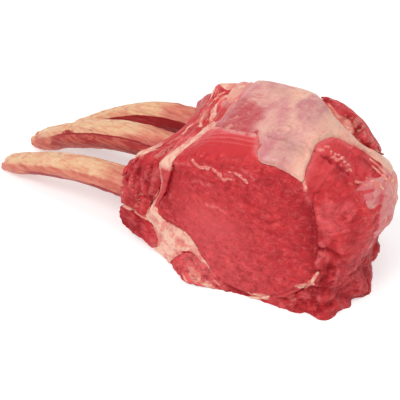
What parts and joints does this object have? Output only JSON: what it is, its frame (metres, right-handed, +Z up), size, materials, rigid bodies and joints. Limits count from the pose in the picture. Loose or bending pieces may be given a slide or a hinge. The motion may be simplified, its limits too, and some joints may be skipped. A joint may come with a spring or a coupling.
{
  "type": "rack of veal",
  "caption": "Raw frenched rack of veal: a thick cut of loin with bare curved ribs, lying ribs down, with a round eye muscle, seams of fat and a silverskin cover; raw meat for roasting.",
  "frame": {"origin": "middle of the rack's box on the table it lies on", "axes": "+X along the ribs, from the bone tips to the chine side; +Y along the rack, from the near cut face to the far one; +Z up"},
  "size_m": [0.2712, 0.1078, 0.0914],
  "materials": {
    "muscle": "raw crimson meat, wet, with a fine grain",
    "dark_muscle": "darker raw meat, wet",
    "fat": "cream and pink raw fat, soft and slightly greasy",
    "silverskin": "pink silverskin with streaks of cream fat, satin",
    "bone": "tan scraped bone with pink and cream streaks, damp"
  },
  "bodies": {
    "root": {"eye_muscle": "muscle", "cap_muscle": "muscle", "chine_muscle": "muscle", "under_meat": "muscle", "outer_strip": "muscle", "flap_muscle": "dark_muscle", "seam_fat": "fat", "tail_fat": "fat", "chine_seam": "fat", "fat_cover": "silverskin", "rib_1": "bone", "rib_2": "bone", "rib_3": "bone"}
  },
  "joints": []
}
